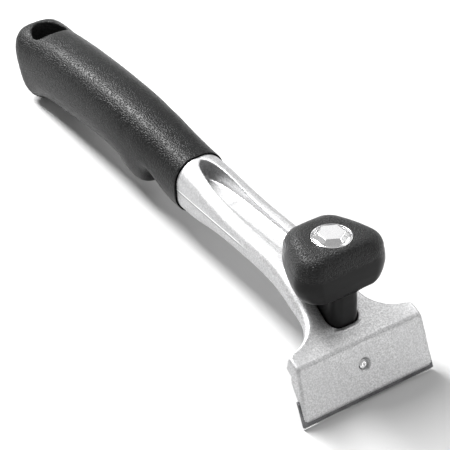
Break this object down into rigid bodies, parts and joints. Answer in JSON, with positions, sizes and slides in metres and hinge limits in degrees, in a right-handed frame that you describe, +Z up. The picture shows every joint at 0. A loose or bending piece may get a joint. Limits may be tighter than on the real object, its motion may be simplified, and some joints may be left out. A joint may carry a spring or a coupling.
{
  "type": "floor scraper",
  "caption": "Two-handed pull scraper for floors: cast aluminium body, soft moulded handle, black palm knob over the head, short steel blade clamped behind the face.",
  "frame": {"origin": "on the floor plane the tool lies on, under the middle of its length and width", "axes": "+X from the handle's tail to the blade, +Y to the tool's left, +Z up; the tool lies on its cutting edge and its tail"},
  "size_m": [0.2716, 0.065, 0.0662],
  "materials": {
    "cast_aluminium": "blasted die casting, clear lacquered",
    "grip_skin": "fine stippled soft skin",
    "core_plastic": "moulded",
    "knob_plastic": "grained top, smooth sides",
    "bright_steel": "bright nickel plated",
    "zinc_steel": "zinc plated",
    "blade_steel": "dark ground steel"
  },
  "bodies": {
    "handle_and_head": {"body_casting": "cast_aluminium", "handle_core": "core_plastic", "handle_grip": "grip_skin", "tang_pin_front": "zinc_steel", "tang_pin_rear": "zinc_steel"},
    "knob": {"knob_body": "knob_plastic", "knob_bush": "bright_steel"},
    "bolt": {"knob_bolt": "bright_steel"},
    "blade": {"blade": "blade_steel"},
    "clamp": {"clamp_plate": "zinc_steel", "clamp_washer": "zinc_steel"},
    "screw": {"clamp_screw": "bright_steel"}
  },
  "joints": [
    {"name": "knob_lift", "type": "slide", "parent": "handle_and_head", "child": "knob", "axis": [-0.0907, 0, 0.9959], "range_m": [0, 0.009]},
    {"name": "knob_bolt_turn", "type": "hinge", "parent": "knob", "child": "bolt", "pos_m": [0.10465, 0, 0.05749], "axis": [-0.0907, 0, 0.9959], "range_deg": [0, 2592]},
    {"name": "clamp_open", "type": "slide", "parent": "handle_and_head", "child": "clamp", "axis": [-0.8813, 0, -0.4726], "range_m": [0, 0.0028]},
    {"name": "clamp_screw_turn", "type": "hinge", "parent": "clamp", "child": "screw", "pos_m": [0.12223, 0, 0.01109], "axis": [-0.8813, 0, -0.4726], "range_deg": [0, 1440]},
    {"name": "blade_draw", "type": "slide", "parent": "handle_and_head", "child": "blade", "axis": [0.4726, 0, -0.8813], "range_m": [0, 0.012]}
  ],
  "couplings": [
    {"joint": "knob_bolt_turn", "follows": "knob_lift", "rad_per_m": 5026.5},
    {"joint": "clamp_screw_turn", "follows": "clamp_open", "rad_per_m": 8976}
  ]
}
